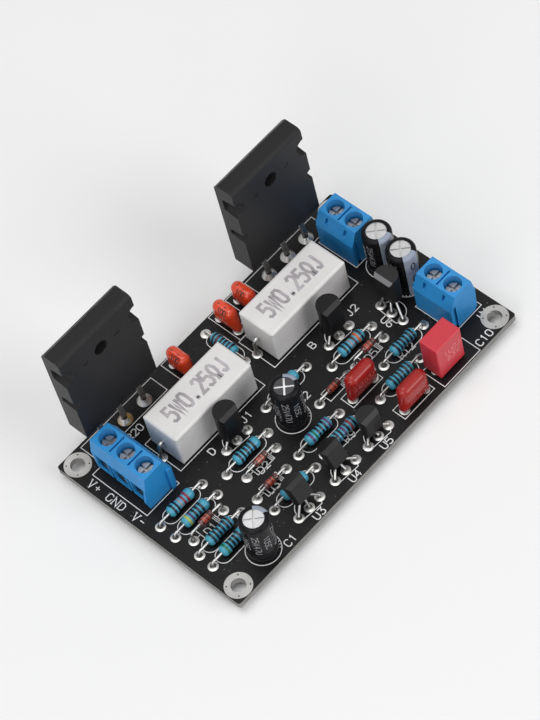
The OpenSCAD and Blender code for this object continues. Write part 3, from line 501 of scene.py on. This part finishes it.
paint(board_coat(), "circuit_board")
paint(solder(), "solder_joints")
paint(plain("tinned_wire", (0.45, 0.445, 0.435),
            grain=0.25, roughness=0.3, depth=0.006, vary=0.15, metal=1.0),
      "ceramic_resistor_leads", "film_resistor_leads", "diode_leads",
      "small_transistor_leads", "capacitor_leads")
paint(plain("blue_moulding", (0.019, 0.245, 0.58), grain=0.12, roughness=0.42, vary=0.08),
      "power_terminal_housing", "output_terminal_housing", "input_terminal_housing")
paint(plain("zinc_plate", (0.33, 0.34, 0.36),
            grain=0.15, roughness=0.36, depth=0.008, vary=0.15, metal=1.0),
      "power_screw", "output_screw", "input_screw")
paint(plain("plated_strip", (0.56, 0.55, 0.52),
            grain=0.2, roughness=0.34, depth=0.006, vary=0.15, metal=1.0),
      "power_wire_guard", "output_wire_guard", "input_wire_guard", "terminal_contacts")
paint(power_epoxy(), *POWER_NAMES)
paint(plain("tinned_copper", (0.4, 0.385, 0.36),
            grain=0.3, roughness=0.42, depth=0.006, vary=0.06, metal=1.0),
      "left_power_transistor_frame", "right_power_transistor_frame")
paint(small_epoxy(), "driver_transistor_3", "signal_transistor")
paint(plain("driver_epoxy", (0.005, 0.005, 0.0054),
            grain=0.1, roughness=0.36, depth=0.006, vary=0.2, Specular_IOR_Level=0.2),
      "driver_transistor_1", "driver_transistor_2")
paint(white_ceramic(), *CERAMIC_NAMES)
paint(orange_glass(), "diodes")
paint(drawn_aluminium(), "capacitor_cans")
paint(plain("black_rubber", (0.012, 0.012, 0.012), grain=0.15, roughness=0.6, depth=0.01),
      "capacitor_seals")
paint(plain("orange_dip", (0.68, 0.05, 0.011),
            grain=0.9, roughness=0.17, depth=0.02, vary=0.1, Coat_Weight=0.15),
      "dipped_capacitors")
paint(plain("red_dip", (0.31, 0.012, 0.01),
            grain=0.9, roughness=0.24, depth=0.014, Specular_IOR_Level=0.35),
      "film_capacitors")
paint(plain("red_box", (0.53, 0.027, 0.044), grain=0.14, roughness=0.4, vary=0.06),
      "box_capacitor")
for i, name in enumerate(FILM_NAMES):
    coat(name, film_body(i))
for i, name in enumerate(SLEEVE_NAMES):
    coat(name, sleeve(i))

SILK = plain("white_print", (0.72, 0.72, 0.72), grain=0.08, roughness=0.6, vary=0.08)
TIN = plain("tinned_pad", (0.38, 0.375, 0.365),
            grain=0.3, roughness=0.46, depth=0.01, vary=0.14, metal=1.0)
TRACK_COAT = plain("coated_track", (0.014, 0.0135, 0.0145),
                   grain=0.2, roughness=0.3, depth=0.006, vary=0.15, Specular_IOR_Level=0.25)
# Painted shade: the dark colour of the discs that stand for the via holes
VIA_HOLE_SHADE = plain("via_hole_shade", (0.02, 0.02, 0.02), grain=0.1, roughness=0.6)
STAMP_INK = plain("grey_stamp", (0.36, 0.34, 0.36), grain=0.3, roughness=0.6, vary=0.3)
BLACK_INK = plain("black_mark", (0.02, 0.01, 0.01), grain=0.1, roughness=0.5)
PALE_INK = plain("pale_ink", (0.24, 0.24, 0.25), grain=0.1, roughness=0.5, vary=0.2)
PINK_INK = plain("pink_ink", (0.42, 0.075, 0.065), grain=0.1, roughness=0.5, vary=0.2)
ROSE_INK = plain("rose_ink", (0.66, 0.2, 0.22), grain=0.1, roughness=0.5, vary=0.2)


# Prints, rims and bands: the pieces that are too thin for the solids

def circle(radius, degrees):
    """Points of a circle at those angles."""
    angles = [math.radians(a) for a in degrees]
    return [(radius * math.cos(a), radius * math.sin(a)) for a in angles]


def full_circle(radius, steps):
    """Points all round a circle."""
    return circle(radius, [360 * i / steps for i in range(steps)])


def turned(points, x, y, turn=0):
    """The points turned by that angle, then moved to x, y."""
    c, s = math.cos(math.radians(turn)), math.sin(math.radians(turn))
    return [(x + px * c - py * s, y + px * s + py * c) for px, py in points]


# Letters and figures on a field 4 wide and 6 high, where O stands for the ohm sign
GLYPH_W = 4
GLYPH_H = 6
GLYPHS = {
    "0": [[(1, 0), (3, 0), (4, 1.2), (4, 4.8), (3, 6), (1, 6), (0, 4.8), (0, 1.2), (1, 0.02)]],
    "1": [[(0.8, 4.8), (2, 6), (2, 0)]],
    "2": [[(0, 4.8), (1, 6), (3, 6), (4, 4.9), (4, 3.9), (0, 0), (4, 0)]],
    "3": [[(0, 6), (4, 6), (2, 3.6), (3.2, 3.4), (4, 2.4), (4, 1), (3, 0), (1, 0), (0, 1)]],
    "4": [[(3, 0), (3, 6), (0, 2), (4, 2)]],
    "5": [[(3.8, 6), (0.3, 6), (0, 3.4), (2.8, 3.7), (4, 2.6), (4, 1.1), (3, 0), (1, 0), (0, 0.8)]],
    "6": [[(3.6, 5.6), (2, 6), (0.6, 5), (0, 3), (0, 1.2), (1, 0), (3, 0), (4, 1.1), (4, 2.3),
           (3, 3.4), (1, 3.4), (0.1, 2.6)]],
    "7": [[(0, 6), (4, 6), (1.6, 0)]],
    "9": [[(0.4, 0.4), (2, 0), (3.4, 1), (4, 3), (4, 4.8), (3, 6), (1, 6), (0, 4.9), (0, 3.7),
           (1, 2.6), (3, 2.6), (3.9, 3.4)]],
    "V": [[(0, 6), (2, 0), (4, 6)]],
    "G": [[(4, 4.8), (3, 6), (1, 6), (0, 4.8), (0, 1.2), (1, 0), (3, 0), (4, 1.2), (4, 2.8),
           (2.4, 2.8)]],
    "N": [[(0, 0), (0, 6), (4, 0), (4, 6)]],
    "D": [[(0, 0), (0, 6), (2.4, 6), (4, 4.6), (4, 1.4), (2.4, 0), (0.02, 0)]],
    "U": [[(0, 6), (0, 1.2), (1, 0), (3, 0), (4, 1.2), (4, 6)]],
    "J": [[(3, 6), (3, 1.2), (2.1, 0), (1, 0), (0, 1.2)]],
    "C": [[(4, 4.8), (3, 6), (1, 6), (0, 4.8), (0, 1.2), (1, 0), (3, 0), (4, 1.2)]],
    "B": [[(0, 0), (0, 6), (2.8, 6), (3.7, 5.2), (3.7, 4), (2.8, 3.2), (0, 3.2)],
          [(2.8, 3.2), (4, 2.3), (4, 0.9), (3, 0), (0, 0)]],
    "R": [[(0, 0), (0, 6), (3, 6), (4, 5), (4, 4), (3, 3), (0, 3)], [(2, 3), (4, 0)]],
    "I": [[(2, 0), (2, 6)]],
    "W": [[(0, 6), (1, 0), (2, 4.2), (3, 0), (4, 6)]],
    "O": [[(0, 0), (1.3, 0), (1.3, 0.9), (0.3, 2.4), (0, 4), (0.9, 5.6), (2, 6), (3.1, 5.6), (4, 4),
           (3.7, 2.4), (2.7, 0.9), (2.7, 0), (4, 0)]],
    "+": [[(0.2, 3), (3.8, 3)], [(2, 1.2), (2, 4.8)]],
    "-": [[(0.2, 3), (3.8, 3)]],
    ".": [[(1, 0.2), (3, 0.2)], [(1, 0.75), (3, 0.75)]],
}
SERIFS = {
    "V": [[(-0.8, 6), (0.9, 6)], [(3.1, 6), (4.8, 6)]],
    "N": [[(-0.8, 0), (0.8, 0)], [(-0.8, 6), (0.2, 6)], [(3.2, 6), (4.8, 6)]],
    "D": [[(-0.7, 0), (0.2, 0)], [(-0.7, 6), (0.2, 6)]],
    "G": [[(2.4, 2.8), (4.7, 2.8)]],
}


class Print:
    """Thin closed strips and discs, drawn in a plane or round a cylinder, in millimetres."""

    FINE = math.radians(7)
    LEAST_MITRE = 0.35

    def __init__(self, thick=0.025, sunk=0.01):
        self.verts, self.faces = [], []
        self.thick, self.sunk = thick, sunk
        self.plane((0, 0, BOARD_T))

    def plane(self, origin, right=(1, 0, 0), up=(0, 1, 0)):
        self.origin = Vector(origin)
        self.right, self.up = Vector(right).normalized(), Vector(up).normalized()
        self.out = self.right.cross(self.up)
        self.radius = 0

    def wrap(self, origin, right, up, radius):
        """Draw on a cylinder: x along its axis, y around it, from the direction right x up."""
        self.plane(origin, right, up)
        self.radius = radius

    def point(self, x, y, h):
        if self.radius:
            a = y / self.radius
            place = self.origin + self.right * x
            place += (self.out * math.cos(a) + self.up * math.sin(a)) * (self.radius + h)
        else:
            place = self.origin + self.right * x + self.up * y + self.out * h
        self.verts.append(place * MM)
        return len(self.verts) - 1

    def finer(self, points):
        """The same line with points close enough to follow the round surface."""
        line = points[:1]
        for p, q in zip(points, points[1:]):
            parts = math.ceil(abs(q.y - p.y) / (self.FINE * self.radius)) or 1
            line += [p.lerp(q, i / parts) for i in range(1, parts + 1)]
        return line

    def stroke(self, points, width, closed=False):
        """A strip of that width along the points, with mitred corners."""
        line = [Vector(p) for p in points]
        if self.radius:
            line = self.finer(line)
        n = len(line)
        rows = []
        for i, p in enumerate(line):
            before = line[i - 1] if i > 0 or closed else None
            after = line[(i + 1) % n] if i < n - 1 or closed else None
            arriving = (p - before).normalized() if before is not None else (after - p).normalized()
            leaving = (after - p).normalized() if after is not None else arriving
            turn = arriving + leaving
            along = turn.normalized() if turn.length > 1e-6 else arriving
            reach = width / 2 / max(self.LEAST_MITRE, along.dot(arriving))
            side = Vector((-along.y, along.x)) * reach
            rows.append([self.point(*(p + s * side), h)
                         for h in (-self.sunk, self.thick) for s in (-1, 1)])
        for i in range(n if closed else n - 1):
            a, b = rows[i], rows[(i + 1) % n]
            self.faces += [(a[2], b[2], b[3], a[3]), (a[1], b[1], b[0], a[0]),
                           (a[0], b[0], b[2], a[2]), (a[3], b[3], b[1], a[1])]
        if not closed:
            a, b = rows[0], rows[-1]
            self.faces += [(a[0], a[2], a[3], a[1]), (b[0], b[1], b[3], b[2])]

    def ring(self, x, y, r, width, steps=40):
        self.stroke(turned(full_circle(r, steps), x, y), width, True)

    def disc(self, x, y, r, steps=16):
        rim = turned(full_circle(r, steps), x, y)
        low, high = zip(*[[self.point(*p, h) for h in (-self.sunk, self.thick)] for p in rim])
        self.faces += [high, tuple(reversed(low))]
        for i in range(steps):
            j = (i + 1) % steps
            self.faces.append((low[i], low[j], high[j], high[i]))

    def rect(self, x0, y0, x1, y1, width):
        self.stroke([(x0, y0), (x1, y0), (x1, y1), (x0, y1)], width, True)

    def text(self, words, x, y, height, width, turn=0, spread=1.35, serif=False, narrow=1.0):
        """Words in single strokes, centred on x, y."""
        unit = height / GLYPH_H
        wide = unit * narrow
        letter_w = GLYPH_W * wide
        step = letter_w * spread
        start = -(len(words) * step - (step - letter_w)) / 2
        for i, letter in enumerate(words):
            for line in GLYPHS[letter] + (SERIFS.get(letter, []) if serif else []):
                left, base = start + i * step, -GLYPH_H / 2
                placed = [(left + px * wide, (base + py) * unit) for px, py in line]
                self.stroke(turned(placed, x, y, turn), width)

    def piece(self, name, m, slot):
        mesh = bpy.data.meshes.new(name)
        mesh.from_pydata([tuple(v) for v in self.verts], [], self.faces)
        mesh.validate()
        mesh.materials.append(m.material)
        obj = bpy.data.objects.new(name, mesh)
        bpy.context.scene.collection.objects.link(obj)
        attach(obj, ROOT)


LINE = 0.17


def mark_film_resistors(white):
    """A long ring with round ends and a line to each pad."""
    half, r = 2.9, 1.75
    pad_clear = 1.0
    end = [(half + px, py) for px, py in circle(r, range(-90, 91, 15))]
    loop = end + [(-px, -py) for px, py in end]
    for (x, y), crosswise in zip(FILM, FILM_CROSSWISE):
        pitch, turn = (CROSS_PITCH, 90) if crosswise else (FILM_PITCH, 0)
        white.stroke(turned(loop, x, y, turn), LINE, True)
        for side in (-1, 1):
            line = [(side * (half + r), 0), (side * (pitch / 2 - pad_clear), 0)]
            white.stroke(turned(line, x, y, turn), LINE)


def mark_diodes(white):
    """A box with a line to each lead and two bars at the cathode."""
    half_l, half_w = 2.4, 1.35
    line_end = 3.1
    bars = (1.7, 2.05)
    for x, y in DIODE:
        white.rect(x - half_l, y - half_w, x + half_l, y + half_w, LINE)
        for bar in bars:
            white.stroke([(x + bar, y - half_w), (x + bar, y + half_w)], LINE)
        for side in (-1, 1):
            white.stroke([(x + side * half_l, y), (x + side * line_end, y)], LINE)


def mark_cans(white):
    """A ring, hatched on the minus side."""
    r, hatch_r = 3.6, 3.2
    hatch = range(-60, 61, 12)
    for (x, y), turn in zip(CAN, STRIPE_TURN):
        white.ring(x, y, r, LINE)
        for inner, outer in zip(circle(hatch_r, hatch), circle(r, hatch)):
            white.stroke(turned([inner, outer], x, y, turn), LINE)


def mark_small_transistors(white):
    """A round back closed by a straight front."""
    r, rise = 2.75, 0.25
    outline = [(px, rise + py) for px, py in circle(r, range(-35, 216, 12))]
    for x, y, turn in SIGNAL + DRIVER:
        white.stroke(turned(outline + outline[:1], x, y, turn), LINE)


def mark_frames(white):
    """Boxes round the other parts: left, front, right and rear edge of each."""
    terminals = [(-37.8, 2.8, -28.6, 18.0), (30.4, 8.3, 38.6, 18.7), (30.4, -18.0, 38.6, -7.6)]
    dipped = [(-11.0, 15.7, -7.6, 24.7), (3.2, 15.7, 6.3, 24.7), (8.3, 15.7, 11.7, 24.7)]
    films = [(5.1, -13.4, 13.8, -10.0), (9.3, -23.3, 18.1, -20.0), (19.6, -24.7, 30.3, -18.8)]
    ceramics = [(-26.4, 4.4, -1.7, 14.4), (2.6, 5.6, 27.8, 15.6)]
    power_half, power_from, power_to = 10.2, 19.6, 24.3
    powers = [(x - power_half, power_from, x + power_half, power_to) for x in POWER_X]
    for box in terminals + dipped + films + ceramics + powers:
        white.rect(*box, LINE)


def mark_names(white):
    """Generic names of the parts, and of the terminals' poles."""
    names = (
        ("D", -19.4, 2.5), ("J1", -9.4, 2.4), ("B", 11.0, 3.1), ("J2", 22.1, 2.2),
        ("C1", -24.6, -23.4), ("C2", 0.9, -3.8), ("C10", 33.0, -23.5), ("R20", -25.6, 18.0),
        ("R12", 21.4, -13.0), ("R9", -0.3, -17.1), ("U3", -16.8, -23.9), ("U4", -6.3, -23.9),
        ("U5", 3.0, -23.9), ("D1", -32.2, -9.2), ("D2", -15.8, -8.2), ("D3", -18.0, -12.8),
        ("D5", 16.4, -8.0), ("IN", 36.9, -19.6),
    )
    name_h, name_w = 1.6, 0.22
    poles = (("V+", 15.8), ("GND", 9.9), ("V-", 3.5))
    pole_x, pole_h, pole_w = -39.4, 1.7, 0.2
    for words, x, y in names:
        white.text(words, x, y, name_h, name_w)
    white.text("U6", 24.3, -5.4, name_h, name_w, turn=-90)
    for words, y in poles:
        white.text(words, pole_x, y, pole_h, pole_w, turn=-90, spread=1.5, serif=True)


def board_print():
    """All that is printed in white on the board."""
    white = Print()
    mark_film_resistors(white)
    mark_diodes(white)
    mark_cans(white)
    mark_small_transistors(white)
    mark_frames(white)
    mark_names(white)
    white.piece("board_print", SILK, "board")


def row(x, y, pitch, count=2, along=(1, 0)):
    """Pads in a line, that pitch apart, with their middle at x, y."""
    steps = [(i - (count - 1) / 2) * pitch for i in range(count)]
    return [(x + along[0] * step, y + along[1] * step) for step in steps]


def underside_tracks():
    """Tracks under the coat: each pad joined to the nearest pad of another part."""
    track_w = 1.0
    along_x, along_y = (1, 0), (0, 1)
    parts = [row(x, y, CROSS_PITCH, 2, along_y) if crosswise else row(x, y, FILM_PITCH)
             for (x, y), crosswise in zip(FILM, FILM_CROSSWISE)]
    parts += [row(x, y, DIODE_PITCH) for x, y in DIODE]
    parts += [row(x, y, CAN_PITCH) for x, y in CAN]
    parts += [row(x, y, DIPPED_PITCH, 2, along_y) for x, y in DIPPED]
    parts += [row(x, y, FOIL_PITCH) for x, y in FOIL] + [row(*BOX, BOX_PITCH)]
    parts += [row(x, y, SMALL_PITCH, 3, along_y if turn else along_x)
              for x, y, turn in SIGNAL + DRIVER]
    parts += [row(x, POWER_LEG_Y, POWER_LEG_PITCH, 3) for x in POWER_X]
    parts += [row(x, y, CERAMIC_PITCH) for x, y in CERAMIC]
    tracks = Print(thick=0.03, sunk=0.01)
    tracks.plane((0, 0, 0), (-1, 0, 0), (0, 1, 0))
    joined = set()
    for part in parts:
        others = [pad for other in parts if other is not part for pad in other]
        for start in part:
            end = min(others, key=lambda pad: math.dist(pad, start))
            if (end, start) in joined:
                continue
            joined.add((start, end))
            run_x, run_y = end[0] - start[0], end[1] - start[1]
            short, long = sorted((abs(run_x), abs(run_y)))
            line = [start, end]
            # A run that isn't straight or slanted all the way starts slanted, then bends
            if track_w / 2 < short < long - track_w / 2:
                slant = math.copysign(short, run_x), math.copysign(short, run_y)
                line.insert(1, (start[0] + slant[0], start[1] + slant[1]))
            tracks.stroke([(-x, y) for x, y in line], track_w)
    tracks.piece("underside_tracks", TRACK_COAT, "board")


def mounting_rims():
    """Plated rims with vias on both sides of the mounting holes, the via holes drawn as discs of
    painted shade, and the plated walls.
    """
    rim_r, rim_w = 2.24, 1.28
    via_at, via_r = 2.35, 0.18
    wall_r, wall_t, wall_past = 1.59, 0.06, 0.03
    rims = Print(thick=0.035, sunk=0.01)
    vias = Print(thick=0.045, sunk=0.005)
    for x, y in MOUNT:
        for side, z in ((1, BOARD_T), (-1, 0)):
            for sheet in (rims, vias):
                sheet.plane((0, 0, z), (side, 0, 0), (0, 1, 0))
            rims.ring(side * x, y, rim_r, rim_w)
            for via_x, via_y in turned(circle(via_at, range(45, 360, 90)), side * x, y):
                # Each via hole is a disc of painted shade
                vias.disc(via_x, via_y, via_r)
    rims.thick, rims.sunk = BOARD_T + wall_past, wall_past
    rims.plane((0, 0, 0))
    for x, y in MOUNT:
        rims.ring(x, y, wall_r, wall_t)
    rims.piece("mounting_rims", TIN, "solder")
    vias.piece("rim_vias", VIA_HOLE_SHADE, "board")


def ceramic_stamp():
    """The rating stamped in grey on the ceramic resistors."""
    stamp = Print(thick=0.02, sunk=0.01)
    for x, y in CERAMIC:
        stamp.plane((x, y, CERAMIC_TOP))
        stamp.text("5W0.25OJ", 0.1, 0.3, height=3.9, width=0.68, spread=1.42, narrow=0.56)
    stamp.piece("ceramic_stamp", STAMP_INK, "ceramic")


def capacitor_values():
    """The value on each dipped capacitor's upper left rounding, with two dashes above."""
    look = math.radians(40)
    dashes_x = (-1.5, 0.3)
    dash_l, dash_y, dash_w = 0.45, 1.1, 0.2
    value = Print(thick=0.03, sunk=0.03)
    for x, y in DIPPED:
        axis = (x, y, BOARD_T + COATED_FOOT + DIPPED_H - DIPPED_R)
        value.wrap(axis, (0, -1, 0), (math.sin(look), 0, math.cos(look)), DIPPED_R)
        value.text("100", 0.3, -0.1, height=1.15, width=0.19, spread=1.25, narrow=0.8)
        for dash_x in dashes_x:
            value.stroke([(dash_x, dash_y), (dash_x + dash_l, dash_y)], dash_w)
    value.piece("capacitor_values", BLACK_INK, "sleeve")


def film_capacitor_values():
    """The value on the front of each film capacitor."""
    value = Print(thick=0.03, sunk=0.02)
    for x, y in FOIL:
        value.plane((x, y - FOIL_FRONT, BOARD_T + COATED_FOOT), (1, 0, 0), UP)
        value.text("103J", 0.6, 3.9, height=1.25, width=0.15, narrow=0.9)
    value.piece("film_capacitor_values", PINK_INK, "red_coat")


def box_capacitor_values():
    """The value and the voltage on the front of the box capacitor."""
    value = Print(thick=0.03, sunk=0.02)
    value.plane((BOX[0], BOX_FRONT, BOARD_T), (1, 0, 0), UP)
    for words, z in (("1U0J", 6.6), ("63V", 4.6)):
        value.text(words, 0.6, z, height=1.35, width=0.14)
    value.piece("box_capacitor_values", ROSE_INK, "box_case")


def sleeve_prints():
    """Ratings printed down the sleeves, and two oval rings on each stripe."""
    rating_z = 6.8
    ratings_at = (("105C", 165), ("25V47U", 205), ("105C", 245), ("25V47U", 285))
    oval_z = (8.8, 4.6)
    oval_l, oval_w, oval_line = 1.0, 0.48, 0.26
    oval = [(oval_l * px, oval_w * py) for px, py in circle(1, range(0, 360, 15))]
    ratings, rings = Print(thick=0.035, sunk=0.03), Print(thick=0.035, sunk=0.03)
    for (x, y), turn in zip(CAN, STRIPE_TURN):
        for words, offset in ratings_at:
            a = math.radians(turn + offset)
            ratings.wrap((x, y, BOARD_T + rating_z), DOWN, (-math.sin(a), math.cos(a), 0), CAN_R)
            ratings.text(words, 0, 0, height=1.2, width=0.15, spread=1.4)
        a = math.radians(turn)
        for z in oval_z:
            rings.wrap((x, y, BOARD_T + z), DOWN, (-math.sin(a), math.cos(a), 0), CAN_R)
            rings.stroke(oval, oval_line, True)
    ratings.piece("capacitor_ratings", PALE_INK, "sleeve")
    rings.piece("stripe_rings", BLACK_INK, "sleeve")


def diode_bands():
    """A black ring round each diode at its cathode."""
    start, end = 0.6, 1.0
    sunk, proud = 0.05, 0.015
    inner, outer = DIODE_R - sunk, DIODE_R + proud
    sides = 28
    profile = ((start, inner), (start, outer), (end, outer), (end, inner))
    bands = Print()
    for (x, y), z in zip(DIODE, DIODE_Z):
        first = len(bands.verts)
        for px, r in profile:
            for py, pz in full_circle(r, sides):
                bands.verts.append(Vector((x + px, y + py, z + pz)) * MM)
        for k in range(len(profile)):
            a, b = first + k * sides, first + (k + 1) % len(profile) * sides
            for i in range(sides):
                j = (i + 1) % sides
                bands.faces.append((a + i, b + i, b + j, a + j))
    bands.piece("diode_bands", BLACK_INK, "sleeve")


board_print()
underside_tracks()
mounting_rims()
ceramic_stamp()
capacitor_values()
film_capacitor_values()
box_capacitor_values()
sleeve_prints()
diode_bands()


# Stage, light and camera, in metres

TARGET = Vector((0, 0, 0.008))
# Each lamp's name, power in watts, width and height, and place
LAMPS = (
    ("top_light", 11.2, (1.1, 1.1), (-0.18, 0.11, 1.48)),
    ("left_light", 6.2, (0.9, 0.9), (-1.17, -0.45, 0.72)),
    ("front_light", 7.8, (0.9, 0.7), (0.45, -1.12, 0.76)),
)
PALE = (0.855, 0.855, 0.855)
FILL = 0.35
FLOOR_REACH = 4.0


def studio_lamp(name, strength, size, place):
    data = bpy.data.lights.new(name, "AREA")
    data.shape, data.size, data.size_y, data.energy = "RECTANGLE", size[0], size[1], strength
    lamp = bpy.data.objects.new(name, data)
    lamp.location = place
    lamp.rotation_euler = (TARGET - Vector(place)).to_track_quat("-Z", "Y").to_euler()
    bpy.context.scene.collection.objects.link(lamp)


def studio_world():
    """Pale to the camera and in reflections, and a weaker fill as light."""
    world = bpy.data.worlds.new("studio")
    bpy.context.scene.world = world
    world.use_nodes = True
    tree = world.node_tree
    background = tree.nodes["Background"]
    background.inputs["Color"].default_value = (*PALE, 1)
    rays = tree.nodes.new("ShaderNodeLightPath").outputs
    seen = rays["Is Camera Ray"]
    for key in ("Is Glossy Ray", "Is Transmission Ray"):
        either = tree.nodes.new("ShaderNodeMath")
        either.operation = "MAXIMUM"
        tree.links.new(seen, either.inputs[0])
        tree.links.new(rays[key], either.inputs[1])
        seen = either.outputs[0]
    level = tree.nodes.new("ShaderNodeMapRange")
    level.inputs["To Min"].default_value = FILL
    level.inputs["To Max"].default_value = 1.0
    tree.links.new(seen, level.inputs["Value"])
    tree.links.new(level.outputs["Result"], background.inputs["Strength"])


def pale_floor():
    """Floor under the lowest leads."""
    r, z = FLOOR_REACH, cad_box[0][2]
    mesh = bpy.data.meshes.new("floor")
    mesh.from_pydata([(-r, -r, z), (r, -r, z), (r, r, z), (-r, r, z)], [], [(0, 1, 2, 3)])
    floor = bpy.data.objects.new("floor", mesh)
    bpy.context.scene.collection.objects.link(floor)
    paper = Nodes("pale_floor")
    paper.colour(paper.mix(paper.noise(3.0), (0.86, 0.86, 0.86), (0.87, 0.87, 0.87)))
    paper.set(Roughness=0.9, Specular_IOR_Level=0.0)
    mesh.materials.append(paper.material)


# The camera's place and axes in the part's frame, and its focal length, as fitted to the photograph
IMAGE_H = 720.0
FOCAL_PX = 2927.97
SENSOR_W = 36.0
CAMERA_AT = Vector((-0.175775, -0.263674, 0.488396))
VIEW_RIGHT = Vector((0.66746763, -0.72729607, -0.15977293))
VIEW_DOWN = Vector((-0.67889006, -0.50620665, -0.53184877))
VIEW_AHEAD = Vector((0.3059334, 0.46346009, -0.83163063))


def photo_camera():
    data = bpy.data.cameras.new("camera")
    data.sensor_width = SENSOR_W
    data.lens = FOCAL_PX / IMAGE_H * SENSOR_W
    camera = bpy.data.objects.new("camera", data)
    axes = Matrix((VIEW_RIGHT, -VIEW_DOWN, -VIEW_AHEAD)).transposed()
    camera.matrix_world = Matrix.Translation(CAMERA_AT) @ axes.to_4x4()
    bpy.context.scene.collection.objects.link(camera)
    bpy.context.scene.camera = camera


for lamp_values in LAMPS:
    studio_lamp(*lamp_values)
studio_world()
pale_floor()
photo_camera()
bpy.context.scene.view_settings.view_transform = "Standard"
